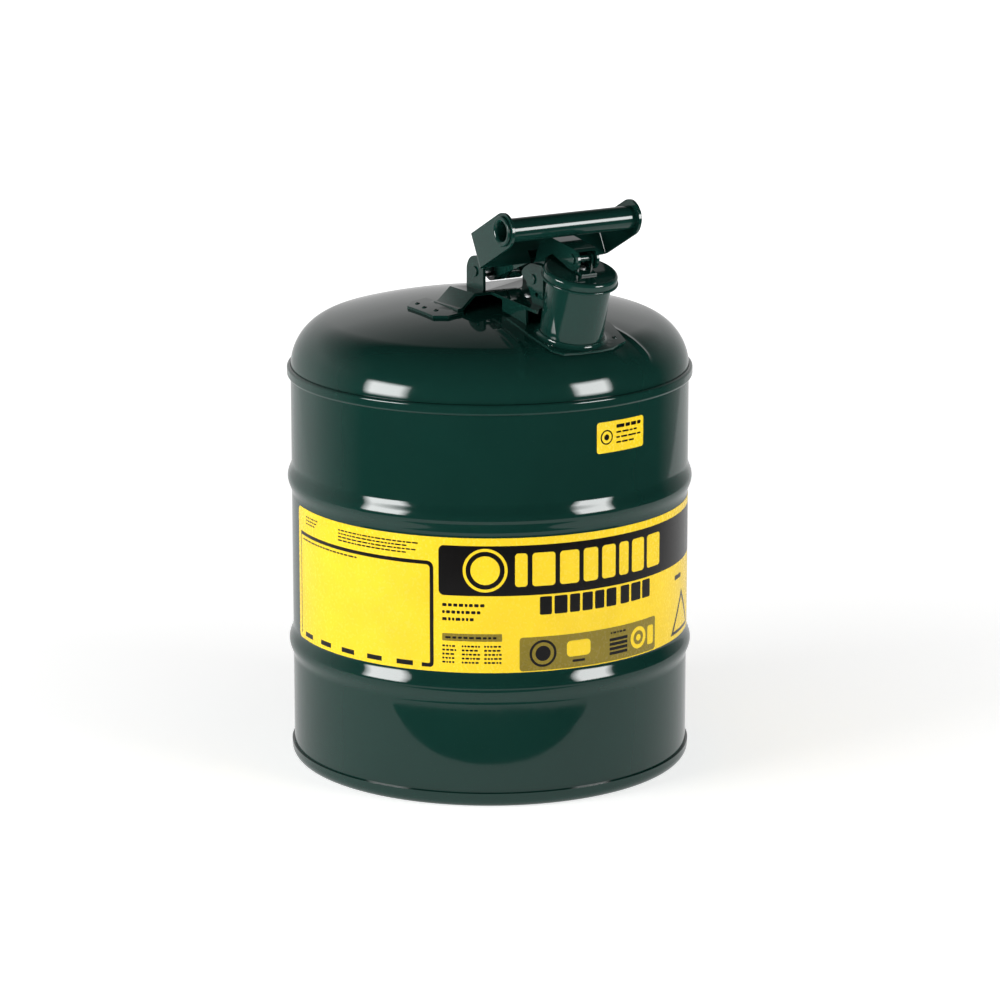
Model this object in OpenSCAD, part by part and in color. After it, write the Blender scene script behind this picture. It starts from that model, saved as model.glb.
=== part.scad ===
// Type I steel safety can, 19 litres: a drum-shaped can with a crowned top, a tilted
// spout with a flame arrester, a spring-closed lid on a lever, and a swinging carry
// handle. +Z is up, +X points from the can's axis towards the spout, and the origin
// is the centre of the base on the floor. Millimetres.

/* [Can body] */
// Outer diameter of the plain can wall
body_d = 293; // [285:0.5:300]
// Sheet thickness of the can
sheet = 0.7; // [0.6:0.05:0.9]
// Outer diameter of the top seam, the widest part of the can
seam_d = 298.4; // [296:0.1:302]
// Height of the lower edge of the top seam
seam_z = 288.8; // [284:0.2:292]
// Height of the top seam band
seam_h = 8; // [6:0.5:10]
// Heights of the two rolled beads
bead_z = [89, 213]; // [60:1:240]
// How far a bead stands out
bead_out = 3; // [2:0.1:3.4]
// Half of a bead's height
bead_half = 12; // [9:0.5:14]

/* [Dome] */
// Height of the dome's apex
dome_top_z = 348; // [345:0.5:350]
// Radius of the dome's crown
crown_r = 440; // [430:5:460]
// Radius of the dome's shoulder
shoulder_r = 38; // [36:1:40]

/* [Spout] */
// Distance from the can's axis to the point where the spout's axis meets the dome
spout_x = 109; // [106:0.5:112]
// Outer diameter of the spout neck
neck_d = 46; // [45:0.5:47]
// Wall of the spout neck
neck_wall = 1.2; // [1:0.1:1.5]
// Height of the neck above the dome, along its axis
neck_h = 44.8; // [44:0.2:45.6]
// Length of the flame arrester below its flange
arrester_len = 112; // [90:2:130]

/* [Lid] */
// Outer diameter of the cap
cap_d = 53.4; // [53.2:0.1:53.8]
// Height of the cap's top face along the spout's axis
cap_top = 52.2; // [52:0.1:52.4]
// Height of the clevis pin along the spout's axis
clevis_z = 61; // [60.8:0.1:61.4]
// Overall width of the lid lever
lever_w = 18; // [17.6:0.1:18.2]

/* [Handle] */
// Height of the handle's pivot
pivot_z = 370; // [369:0.5:371]
// Distance of the handle's pivot in front of the can's axis
pivot_x = 20; // [19:0.5:21]
// Angle of the lowered handle above the horizontal
handle_rest = 28; // [27.8:0.1:28.6]
// Distance from the pivot to the grip's axis
handle_len = 95.8; // [95:0.2:97]
// Outer width over the two handle arms
handle_w = 109; // [105:1:113]
// Height of the handle arms and of the web between them
arm_h = 26; // [25:0.5:26.5]
// Outer diameter of the grip tube
grip_d = 17; // [16.5:0.1:17.2]
// Thickness of the handle and bracket plate
plate = 2.2; // [2:0.1:2.4]

/* [Labels] */
// Lower and upper edge of the main label
label_z = [100.8, 199.8]; // [100:0.2:201]
// Azimuth of the main label's left edge, and the angle it covers
label_from = -104; // [-110:1:-90]
label_span = 208; // [180:1:220]
// Width, height and azimuth of the small label
tag_w = 44; // [36:1:46]
tag_h = 22.6; // [20:0.2:30]
tag_az = 7.8; // [0:0.2:15]
// Height of the small label's centre
tag_z = 267.3; // [255:0.1:270]

/* [Hidden] */
$fn = 96;

fit_gap = 0.05;               // radial clearance of pins and of fixed fits
body_r = body_d / 2;
seam_r = seam_d / 2;
crown_z = dome_top_z - crown_r;              // centre of the crown's sphere
shoulder_c = body_r - shoulder_r;            // centre circle of the shoulder
shoulder_z = crown_z + sqrt(pow(crown_r - shoulder_r, 2) - pow(shoulder_c, 2));
crown_edge = asin(shoulder_c / (crown_r - shoulder_r));
spout_tilt = asin(spout_x / crown_r);        // the spout stands square on the crown
neck_r = neck_d / 2;
neck_in = neck_r - neck_wall;
body_z0 = 4.6;                // lower edge of the wall, inside the chime
joint_z = 293;                // where the wall meets the dome, inside the seam

chime_h = 11;
chime_r = 148.2;
chime_round = 7.5;            // outer rounding of the chime
chime_hem = 1.4;
slot_in = 144.6;              // inner side of the slot that holds wall and pan

collar_t = 1.6;
collar_fillet = 3;
rim_h = 3.2;                  // rolled rim on the neck
cap_r = cap_d / 2;
cap_t = 0.9;
gasket_t = 3;
rivet_r = 2.4;

screen_r = 18.8;
inner_screen_r = 16.4;
screen_t = 0.6;
flange_z = 36;                // height of the arrester's flange in the neck

pin_r = 3.175;
bore_r = pin_r + fit_gap;
clevis_pin_r = 2.4;
head_t = 1.1;

arm_in = handle_w / 2 - plate;
web_u = 51.7;                 // back face of the web, from the pivot
knuckle_r = 8;
sleeve_r = 5.7;
knuckle_in = 1.2;             // the two knuckles leave a slot in the middle
knuckle_out = 12.2;

ear_y = 23;                   // inner face of the handle's bracket ears
ear_r = 11.5;
deck_z = 357.5;               // top of the bracket's deck
deck_y = 36;
foot_y = [47, 68];
foot_x = [-12, 40];
strap_x = [3, 37];
arm_y = 22;                   // outer face of the bracket's front side walls
hinge = [77, 372];            // lid hinge in the XZ plane
hinge_ear_y = 9.6;
front_x = 98;                 // front end of the bracket's deck
front_drop = 4;               // how far the deck has fallen there
wall_x = [52, 84];            // front side walls

spring_wire = 1.9;
spring_r = 4.8;
spring_turns = 5;
spring_sides = 10;
spring_steps = 14;
spring_leg = 12.5;

clevis = spout_point(0, clevis_z);
elbow = [85, 394];
arch = [98, 399.5];
lever_skin = 1.7;
lever_side = 2;

// Point of the XZ plane at a place given in the spout's own frame
function spout_point(across, up) = [
    spout_x + across * cos(spout_tilt) + up * sin(spout_tilt),
    crown_z + crown_r * cos(spout_tilt) - across * sin(spout_tilt) + up * cos(spout_tilt)];

// Points of an arc, from one angle to another
function arc(c, r, a, b, steps = 16) =
    [for (i = [0:steps]) c + r * [cos(a + (b - a) * i / steps), sin(a + (b - a) * i / steps)]];

// Outward step of a bead at height z
function bead_step(z, centre) = abs(z - centre) >= bead_half ? 0
    : bead_out * (1 + cos(180 * (z - centre) / bead_half)) / 2;
function wall_out(z) = bead_step(z, bead_z[0]) + bead_step(z, bead_z[1]);

// The dome's surface as a profile, grown outwards by g
function dome_profile(g) = concat(
    arc([0, crown_z], crown_r + g, 90, 90 - crown_edge, 28),
    arc([shoulder_c, shoulder_z], shoulder_r + g, 90 - crown_edge, 0, 20));
function reversed(list) = [for (i = [len(list) - 1:-1:0]) list[i]];

// Children in the spout's frame: its axis is Z and the crown's surface is Z = 0
module at_spout() {
    translate([0, 0, crown_z]) rotate([0, spout_tilt, 0]) translate([0, 0, crown_r]) children();
}

// Children in the handle's frame: X runs from the pivot to the grip
module at_handle() {
    translate([pivot_x, 0, pivot_z]) rotate([0, -handle_rest, 0]) children();
}

// A profile of the XZ plane, extruded across Y between two distances
module across_y(from, to) {
    translate([0, to, 0]) rotate([90, 0, 0]) linear_extrude(to - from) children();
}

// The same profile on both sides of the middle plane
module both_sides(from, to) {
    across_y(from, to) children();
    across_y(-to, -from) children();
}

module pin_at(place, r, half) {
    translate([place[0], half, place[1]]) rotate([90, 0, 0]) cylinder(r = r, h = 2 * half);
}

module ring(r_in, r_out, z0, z1) {
    rotate_extrude($fn = 180) translate([r_in, z0]) square([r_out - r_in, z1 - z0]);
}

// A flat link with round ends of two radii
module link(p, rp, q, rq) {
    d = norm(q - p);
    ahead = atan2(q[1] - p[1], q[0] - p[0]);
    lean = acos((rp - rq) / d);
    up = [cos(ahead + lean), sin(ahead + lean)];
    down = [cos(ahead - lean), sin(ahead - lean)];
    translate(p) circle(rp);
    translate(q) circle(rq);
    polygon([p + rp * up, p + rp * down, q + rq * down, q + rq * up]);
}

// ---- Can ----

module body_shell() {
    steps = 20;
    heights = concat([body_z0],
        [for (c = bead_z) for (i = [0:steps]) c + bead_half * (2 * i / steps - 1)], [joint_z]);
    color("#18423a") rotate_extrude($fn = 180) polygon(concat(
        [for (z = heights) [body_r + wall_out(z), z]],
        [for (z = reversed(heights)) [body_r - sheet + wall_out(z), z]]));
}

module bottom_pan() {
    disc_z = 13;
    color("#18423a") rotate_extrude($fn = 180) polygon([
        [0, disc_z], [slot_in + fit_gap, disc_z], [slot_in + fit_gap, body_z0],
        [slot_in + fit_gap + sheet, body_z0], [slot_in + fit_gap + sheet, disc_z + sheet],
        [0, disc_z + sheet]]);
}

module bottom_chime() {
    c = [chime_r - chime_round, chime_round];
    foot = c[0] - chime_hem;
    color("#18423a") rotate_extrude($fn = 180) polygon(concat(
        [[body_r + fit_gap, chime_h], [chime_r, chime_h]],
        arc(c, chime_round, 0, -90, 14),
        [[foot, 0], [foot, chime_hem], [slot_in - chime_hem, body_z0], [slot_in - chime_hem, chime_h],
         [slot_in, chime_h], [slot_in, body_z0 - fit_gap], [body_r + fit_gap, body_z0 - fit_gap]]));
}

module dome_top() {
    color("#18423a") difference() {
        rotate_extrude($fn = 180) polygon(concat(
            dome_profile(0), [[body_r, joint_z], [body_r - sheet, joint_z]],
            reversed(dome_profile(-sheet))));
        at_spout() translate([0, 0, -10]) cylinder(r = neck_r + fit_gap, h = 20);
    }
}

module top_seam() {
    c = seam_r - seam_h / 4;
    color("#18423a") rotate_extrude($fn = 180) polygon(concat(
        [[body_r + fit_gap, seam_z + seam_h], [body_r + fit_gap, seam_z]],
        arc([c, seam_z + seam_h / 4], seam_h / 4, -90, 0, 8),
        arc([c, seam_z + seam_h * 3 / 4], seam_h / 4, 0, 90, 8)));
}

// ---- Spout and flame arrester ----

module spout_collar() {
    outline = [[-44, -27], [-9, -29], [17, -27], [25, -21], [27, -8], [27, 8], [25, 20],
        [16, 37], [-15, 44], [-38, 38], [-46, 24]];
    color("#18423a") at_spout() difference() {
        union() {
            intersection() {
                translate([0, 0, -20]) linear_extrude(40) polygon(outline);
                translate([0, 0, -crown_r]) difference() {
                    sphere(r = crown_r + collar_t, $fn = 180);
                    sphere(r = crown_r + fit_gap, $fn = 180);
                }
            }
            rotate_extrude() polygon(concat([[neck_r, 0.5], [neck_r + collar_fillet, 0.5]],
                arc([neck_r + collar_fillet + 1, collar_t + collar_fillet - 0.4], collar_fillet,
                    270, 180, 14),
                [[neck_r, collar_t + collar_fillet]]));
        }
        translate([0, 0, -20]) cylinder(r = neck_r + fit_gap, h = 60);
    }
}

module spout_neck() {
    below = 6;
    color("#18423a") at_spout() difference() {
        translate([0, 0, -below]) cylinder(r = neck_r, h = neck_h + below);
        translate([0, 0, -below - 1]) cylinder(r = neck_in, h = neck_h + below + 2);
    }
}

module spout_rim() {
    mid = neck_r - 0.4;
    half = rim_h / 2;
    color("#18423a") at_spout() rotate_extrude() polygon(concat(
        [[mid - half, neck_h]], [[mid + half - 0.6, neck_h]],
        arc([mid + 0.4, neck_h + half], half, -60, 90, 12),
        arc([mid - 0.4, neck_h + half], half, 90, 180, 10)));
}

module arrester_flange() {
    color("silver") at_spout() ring(inner_screen_r - 1.6, neck_in - fit_gap, flange_z, flange_z + 1.2);
}

module arrester_outer_screen() {
    color("gray") at_spout() ring(screen_r - screen_t, screen_r, flange_z - arrester_len, flange_z);
}

module arrester_inner_screen() {
    color("gray") at_spout()
        ring(inner_screen_r - screen_t, inner_screen_r, flange_z - arrester_len, flange_z);
}

module arrester_end_cap() {
    color("silver") at_spout() translate([0, 0, flange_z - arrester_len - 1])
        cylinder(r = screen_r, h = 1);
}

module arrester_retaining_ring() {
    color("silver") at_spout()
        ring(neck_in - 2.4, neck_in - fit_gap, flange_z + 1.2, flange_z + 2.6);
}

// ---- Bracket and pins ----

// Cross-section of the strap that bridges the dome: deck, two ramps and two short feet
module strap_section() {
    foot_z = crown_z + sqrt(pow(crown_r, 2) - pow(foot_y[0] + 3, 2)) + 0.4;
    side = [[deck_y, deck_z], [foot_y[0], foot_z + plate], [foot_y[0] + 3, foot_z + plate],
        [foot_y[0] + 3, foot_z], [foot_y[0] - 1, foot_z], [deck_y - 1, deck_z - plate]];
    polygon(concat(side, [for (p = reversed(side)) [-p[0], p[1]]]));
}

module bracket_foot(side) {
    cut = 8;
    x0 = foot_x[0];
    x1 = foot_x[1];
    y0 = side > 0 ? foot_y[0] : -foot_y[1];
    y1 = side > 0 ? foot_y[1] : -foot_y[0];
    outer = side > 0 ? y1 : y0;
    inner = side > 0 ? y0 : y1;
    difference() {
        intersection() {
            translate([0, 0, 330]) linear_extrude(30) polygon([[x0, inner], [x1, inner],
                [x1, outer - side * cut], [x1 - cut, outer], [x0 + cut, outer], [x0, outer - side * cut]]);
            translate([0, 0, crown_z]) difference() {
                sphere(r = crown_r + plate, $fn = 180);
                sphere(r = crown_r + fit_gap, $fn = 180);
            }
        }
        for (x = [x0 + 9, (x0 + x1) / 2, x1 - 9])
            translate([x, (y0 + y1) / 2 + side * 2, crown_z])
                rotate([-atan(((y0 + y1) / 2) / crown_r), atan(x / crown_r), 0])
                translate([0, 0, crown_r + plate - 1]) cylinder(r = 2.4, h = 4);
    }
}

// Height of the deck's top in front of the strap, where it falls towards the spout
function deck_top(x) = deck_z - front_drop * (x - strap_x[1]) / (front_x - strap_x[1]);

module pivot_ear() {
    translate([pivot_x, pivot_z]) circle(ear_r);
    translate([pivot_x - ear_r, deck_z - plate / 2]) square([2 * ear_r, pivot_z - deck_z + plate / 2]);
}

// The lid's hinge plate widens upwards from a narrow foot
module hinge_ear() {
    top = hinge[1] + 11.6;
    x = hinge[0];
    foot_z = deck_top(x) - plate / 2;
    difference() {
        polygon([[x - 9, hinge[1] - 3], [x - 14.6, hinge[1] + 1.4], [x - 14.6, hinge[1] + 4],
            [x - 11.5, top - 4.6], [x - 4, top - 0.8], [x, top], [x + 12, top], [x + 13.5, top - 1.5],
            [x + 13.5, foot_z], [x, foot_z], [x - 4, hinge[1] - 10]]);
        translate([x + 5, hinge[1] - 10.4]) circle(1.8);
    }
}

module front_deck() {
    across_y(-arm_y, arm_y) polygon([[strap_x[1] - 1, deck_z], [strap_x[1], deck_z],
        [front_x, deck_top(front_x)], [front_x, deck_top(front_x) - plate],
        [strap_x[1], deck_z - plate], [strap_x[1] - 1, deck_z - plate]]);
    difference() {
        both_sides(arm_y - plate, arm_y) polygon([[wall_x[0], 325], [wall_x[1], 325],
            [wall_x[1], deck_top(wall_x[1]) - plate / 2], [wall_x[0], deck_top(wall_x[0]) - plate / 2]]);
        translate([0, 0, crown_z]) sphere(r = crown_r + collar_t + fit_gap, $fn = 180);
    }
}

module mount_bracket() {
    color("#18423a") difference() {
        union() {
            intersection() {
                translate([strap_x[0], 0, 0]) rotate([90, 0, 90]) linear_extrude(strap_x[1] - strap_x[0])
                    strap_section();
                translate([0, 0, crown_z]) difference() {
                    sphere(r = crown_r + 60, $fn = 180);
                    sphere(r = crown_r + fit_gap, $fn = 180);
                }
            }
            for (side = [-1, 1]) bracket_foot(side);
            front_deck();
            both_sides(ear_y, ear_y + plate) pivot_ear();
            both_sides(hinge_ear_y, hinge_ear_y + plate) hinge_ear();
        }
        pin_at([pivot_x, pivot_z], bore_r, 40);
        pin_at(hinge, bore_r, 40);
        at_spout() cylinder(r = neck_r + 2.4, h = 40);
    }
}

module headed_pin(place, r, half, head) {
    pin_at(place, r, half);
    for (side = [-1, 1])
        translate([place[0], side * (half + head_t / 2), place[1]]) rotate([90, 0, 0])
            cylinder(r = head, h = head_t, center = true);
}

module handle_pivot_pin() {
    color("#18423a") headed_pin([pivot_x, pivot_z], pin_r, ear_y + plate + fit_gap, 3.9);
}

module pivot_spacers() {
    color("silver") for (side = [-1, 1])
        translate([pivot_x, side * (ear_y + knuckle_out) / 2, pivot_z]) rotate([90, 0, 0])
            difference() {
                cylinder(r = 4.8, h = ear_y - knuckle_out - 0.3, center = true);
                cylinder(r = bore_r, h = 20, center = true);
            }
}

module lid_hinge_pin() {
    color("#18423a") headed_pin(hinge, pin_r, hinge_ear_y + plate + fit_gap, 3.7);
}

// Centre line of the lid's torsion spring: a leg behind the lever, the coil, and a leg
// down to the bracket's deck
function spring_point(i, n) =
    let (t = i / n, a = 180 + 360 * spring_turns * t, half = spring_turns * spring_wire * 0.52)
    [hinge[0] + spring_r * cos(a), -half + 2 * half * t, hinge[1] + spring_r * sin(a)];
function spring_path() =
    let (n = spring_turns * spring_steps, first = spring_point(0, n), last = spring_point(n, n))
    concat([first + [0, 0, spring_leg]], [for (i = [0:n]) spring_point(i, n)],
        [[last[0], last[1], deck_top(last[0]) + 0.1]]);

// Directions around a path point, from the neighbours on either side
function tangent(path, i) =
    let (d = path[min(i + 1, len(path) - 1)] - path[max(i - 1, 0)]) d / norm(d);
function ring_points(path, i, r, sides) =
    let (t = tangent(path, i), u0 = cross(t, [path[i][0] - hinge[0], 0.001, path[i][2] - hinge[1]]),
         u = u0 / norm(u0), v = cross(t, u))
    [for (k = [0:sides - 1]) path[i] + r * (u * cos(360 * k / sides) + v * sin(360 * k / sides))];

module lid_spring() {
    path = spring_path();
    last = len(path) - 1;
    points = [for (i = [0:last]) each ring_points(path, i, spring_wire / 2, spring_sides)];
    faces = concat([[for (k = [0:spring_sides - 1]) k]],
        [for (i = [0:last - 1]) for (k = [0:spring_sides - 1]) let (j = (k + 1) % spring_sides)
            [i * spring_sides + k, (i + 1) * spring_sides + k,
             (i + 1) * spring_sides + j, i * spring_sides + j]],
        [[for (k = [spring_sides - 1:-1:0]) last * spring_sides + k]]);
    color("silver") polyhedron(points, faces, convexity = 8);
}

// ---- Labels ----

label_r0 = body_r + 0.02;
label_t = 0.2;

module main_label() {
    color("gold") rotate([0, 0, label_from]) rotate_extrude(angle = label_span, $fn = 180)
        translate([label_r0, label_z[0]]) square([label_t, label_z[1] - label_z[0]]);
}

module listing_label() {
    round_r = 3;
    color("gold") rotate([0, 0, tag_az]) intersection() {
        ring(label_r0, label_r0 + label_t, tag_z - tag_h, tag_z + tag_h);
        translate([100, 0, tag_z]) rotate([90, 0, 90]) linear_extrude(60) union() {
            square([tag_w - 2 * round_r, tag_h], center = true);
            square([tag_w, tag_h - 2 * round_r], center = true);
            for (x = [-1, 1], y = [-1, 1])
                translate([x * (tag_w / 2 - round_r), y * (tag_h / 2 - round_r)]) circle(round_r);
        }
    }
}

// ---- Handle ----

// Plan of the bent web and arms up to the handle's far end, with rounded bends
module bent_plan(x0, half, r) {
    far = handle_len + arm_h;
    translate([x0 + r, -half]) square([far - x0 - r, 2 * half]);
    translate([x0, r - half]) square([far - x0, 2 * (half - r)]);
    for (side = [-1, 1]) translate([x0 + r, side * (half - r)]) circle(r);
}

module handle_yoke() {
    half = arm_h / 2;
    bend = 4;
    stem_w = knuckle_r - plate;
    notch_y = lever_w / 2 + 2;
    flange_y = knuckle_out - plate;
    color("#18423a") at_handle() difference() {
        union() {
            intersection() {
                translate([0, 0, -half]) linear_extrude(arm_h) difference() {
                    bent_plan(web_u, arm_in + plate, bend);
                    bent_plan(web_u + plate, arm_in, bend - plate);
                }
                across_y(-arm_in - plate - 1, arm_in + plate + 1) {
                    translate([handle_len, 0]) circle(half);
                    translate([web_u - 1, -half]) square([handle_len - web_u + 1, arm_h]);
                }
            }
            translate([0, -knuckle_out, stem_w]) cube([web_u + 0.2, 2 * knuckle_out, plate]);
            both_sides(flange_y, knuckle_out) polygon([[2, -7.2], [web_u + 0.2, 0.2 - half],
                [web_u + 0.2, stem_w + 0.1], [2, stem_w + 0.1]]);
            both_sides(knuckle_in, knuckle_out) circle(knuckle_r);
        }
        translate([0, 40, 0]) rotate([90, 0, 0]) cylinder(r = sleeve_r + 0.02, h = 80);
        translate([-knuckle_r - 1, -knuckle_in, -knuckle_r - 1]) cube([24, 2 * knuckle_in, 2 * knuckle_r + 2]);
        translate([web_u - 1, -notch_y, -half - 1]) cube([plate + 2, 2 * notch_y, 10]);
        translate([handle_len, 80, 0]) rotate([90, 0, 0]) cylinder(r = grip_d / 2 + fit_gap, h = 160);
    }
}

module pivot_sleeve() {
    color("silver") difference() {
        pin_at([pivot_x, pivot_z], sleeve_r, knuckle_out);
        pin_at([pivot_x, pivot_z], bore_r, 40);
    }
}

module grip_tube() {
    out_r = grip_d / 2;
    wall = 1.5;
    half = handle_w / 2;
    lip = 2.4;
    c = [out_r + lip - 1, half + 1 + fit_gap];
    color("#18423a") at_handle() translate([handle_len, 0, 0]) rotate([90, 0, 0])
        for (side = [0, 1]) mirror([0, 0, side]) rotate_extrude() polygon(concat(
            [[out_r - wall, 0], [out_r, 0], [out_r, half + fit_gap]],
            arc(c, 1, -90, 90, 8),
            arc([out_r - wall + 2.2, half - 0.2], 2.25, 90, 180, 8)));
}

// ---- Lid ----

module lever_outline() {
    link(hinge, 6.5, elbow, 5.5);
    link(elbow, 5.5, arch, 5.5);
    link(arch, 5.5, clevis, 8);
}

module lid_lever() {
    half = lever_w / 2;
    color("#18423a") difference() {
        across_y(-half, half) lever_outline();
        across_y(-half + lever_side, half - lever_side) {
            translate([lever_skin, -lever_skin]) lever_outline();
            translate([lever_skin + 4, -lever_skin - 4]) lever_outline();
            translate(hinge) circle(spring_r + 4);
            translate(clevis + [6, 0]) circle(6);
        }
        pin_at(hinge, bore_r, 40);
        pin_at(clevis, clevis_pin_r + fit_gap, 40);
    }
}

module clevis_pin() {
    color("silver") headed_pin(clevis, clevis_pin_r, lever_w / 2 + fit_gap, 3.8);
}

module cap_shell() {
    lip = 1;
    skirt_z = cap_top - 7.8;
    corner = 2.5;
    color("#18423a") at_spout() rotate_extrude() polygon(concat(
        [[rivet_r + fit_gap, cap_top - cap_t], [rivet_r + fit_gap, cap_top]],
        [[cap_r - corner - 1.2, cap_top]],
        arc([cap_r - corner, cap_top - corner], corner, 90, 0, 8),
        [[cap_r, skirt_z + 2 * lip]],
        arc([cap_r, skirt_z + lip], lip, 90, -90, 8),
        [[cap_r - cap_t, skirt_z], [cap_r - cap_t, cap_top - cap_t]]));
}

module cap_clevis() {
    base_l = 22;
    ear_out = 6.6;
    ear_t = 1.8;
    color("#18423a") at_spout() difference() {
        union() {
            translate([-base_l / 2, -ear_out, cap_top]) cube([base_l, 2 * ear_out, 1.5]);
            both_sides(ear_out - ear_t, ear_out) {
                translate([0, clevis_z]) circle(4.6);
                translate([-4.6, cap_top + 0.5]) square([9.2, clevis_z - cap_top - 0.5]);
            }
        }
        translate([0, 40, clevis_z]) rotate([90, 0, 0]) cylinder(r = clevis_pin_r + fit_gap, h = 80);
        translate([0, 0, cap_top - 1]) cylinder(r = rivet_r + fit_gap, h = 4);
    }
}

module cap_gasket() {
    seat = cap_top - cap_t;
    color("#222222") at_spout() ring(rivet_r + fit_gap, cap_r - cap_t - 0.3, seat - gasket_t + 0.02, seat);
}

module gasket_retainer() {
    seat = cap_top - cap_t - gasket_t;
    color("silver") at_spout() ring(rivet_r + fit_gap, neck_in - 6, seat - 1, seat + 0.02);
}

module cap_rivet() {
    low = cap_top - cap_t - gasket_t - 1;
    color("silver") at_spout() {
        translate([0, 0, low]) cylinder(r = rivet_r, h = cap_top + 1.5 - low);
        translate([0, 0, low - 1.4]) cylinder(r = 4.4, h = 1.4);
        translate([0, 0, cap_top + 1.5]) cylinder(r1 = 4.2, r2 = 3, h = 1.4);
    }
}

body_shell();
bottom_pan();
bottom_chime();
dome_top();
top_seam();
spout_collar();
spout_neck();
spout_rim();
arrester_flange();
arrester_outer_screen();
arrester_inner_screen();
arrester_end_cap();
arrester_retaining_ring();
mount_bracket();
handle_pivot_pin();
pivot_spacers();
lid_hinge_pin();
lid_spring();
main_label();
listing_label();
handle_yoke();
pivot_sleeve();
grip_tube();
lid_lever();
clevis_pin();
cap_shell();
cap_clevis();
cap_gasket();
gasket_retainer();
cap_rivet();
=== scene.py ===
"""Looks of the safety can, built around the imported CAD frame. Metres, in the CAD frame:
+Z up, +X from the can's axis to the spout, origin at the centre of the base."""
import math
import random

import bmesh
import bpy
from mathutils import Matrix, Vector
from mathutils.bvhtree import BVHTree
from mathutils.geometry import tessellate_polygon


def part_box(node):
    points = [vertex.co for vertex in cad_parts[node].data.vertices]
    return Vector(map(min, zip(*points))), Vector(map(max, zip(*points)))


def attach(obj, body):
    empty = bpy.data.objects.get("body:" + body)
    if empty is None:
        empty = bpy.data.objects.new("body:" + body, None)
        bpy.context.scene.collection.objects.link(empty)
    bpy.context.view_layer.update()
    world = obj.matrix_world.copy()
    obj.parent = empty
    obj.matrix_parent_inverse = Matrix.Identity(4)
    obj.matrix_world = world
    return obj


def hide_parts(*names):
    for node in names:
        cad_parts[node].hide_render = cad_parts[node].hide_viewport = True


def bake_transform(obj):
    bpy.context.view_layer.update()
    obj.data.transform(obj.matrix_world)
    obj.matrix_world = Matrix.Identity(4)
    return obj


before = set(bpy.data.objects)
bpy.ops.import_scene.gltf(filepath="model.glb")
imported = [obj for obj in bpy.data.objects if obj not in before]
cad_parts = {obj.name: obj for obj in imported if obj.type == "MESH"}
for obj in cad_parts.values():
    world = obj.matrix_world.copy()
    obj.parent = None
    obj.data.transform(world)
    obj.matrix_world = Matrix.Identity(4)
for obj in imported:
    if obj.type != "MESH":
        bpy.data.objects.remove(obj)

scene = bpy.context.scene
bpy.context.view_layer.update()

MM = 0.001
FINE = 288  # segments round a large turned part
camera_azimuth = math.radians(-32)
film = 0.18 * MM  # a label's thickness
ink_t = 0.05 * MM  # a printed layer's thickness
layer = 0.03 * MM  # height of each printed layer over the one below it


# ---------------------------------------------------------------- helpers

def centre(node):
    """Middle of a CAD node's box."""
    low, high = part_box(node)
    return (low + high) / 2


def axis_frame(origin, direction):
    """A frame whose Z runs along direction."""
    z = direction.normalized()
    y = Vector((0, 1, 0)) if abs(z.y) < 0.9 else Vector((1, 0, 0))
    x = y.cross(z).normalized()
    y = z.cross(x)
    m = Matrix((x, y, z)).transposed().to_4x4()
    m.translation = origin
    return m


def add(name, mesh, body, material, replaces=()):
    """Puts a mesh in the scene as a piece that rides on a CAD body."""
    piece = bpy.data.objects.new(name, mesh)
    scene.collection.objects.link(piece)
    mesh.materials.clear()
    mesh.materials.append(material)
    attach(piece, body)
    if replaces:
        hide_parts(*replaces)
    return piece


def finish_mesh(name, bm, sharp=35):
    """A smooth-shaded mesh with sharp edges above an angle in degrees."""
    bmesh.ops.recalc_face_normals(bm, faces=bm.faces)
    mesh = bpy.data.meshes.new(name)
    bm.to_mesh(mesh)
    bm.free()
    mesh.polygons.foreach_set("use_smooth", [True] * len(mesh.polygons))
    mesh.set_sharp_from_angle(angle=math.radians(sharp))
    return mesh


def soften(piece, width, segments=3, angle=30):
    """Rounds the piece's edges."""
    bevel = piece.modifiers.new("edges", "BEVEL")
    bevel.width = width
    bevel.segments = segments
    bevel.limit_method = "ANGLE"
    bevel.angle_limit = math.radians(angle)
    bevel.harden_normals = True
    bevel.miter_outer = "MITER_ARC"


def lathe_mesh(name, profile, place=Matrix.Identity(4), segments=FINE, sharp=35, turn=None):
    """Turns a closed profile of (radius, height) points about the Z axis of place, in even
    segments or at the angles in turn."""
    bm = bmesh.new()
    rings = []
    turn = turn or [2 * math.pi * i / segments for i in range(segments)]
    segments = len(turn)
    for r, z in profile:
        if r < 1e-6:
            rings.append([bm.verts.new(place @ Vector((0, 0, z)))] * segments)
            continue
        rings.append([bm.verts.new(place @ Vector((r * math.cos(a), r * math.sin(a), z)))
                      for a in turn])
    for k, low in enumerate(rings):
        high = rings[(k + 1) % len(rings)]
        for i in range(segments):
            j = (i + 1) % segments
            corners = list(dict.fromkeys([low[i], low[j], high[j], high[i]]))
            if len(corners) > 2:
                bm.faces.new(corners)
    return finish_mesh(name, bm, sharp)


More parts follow.
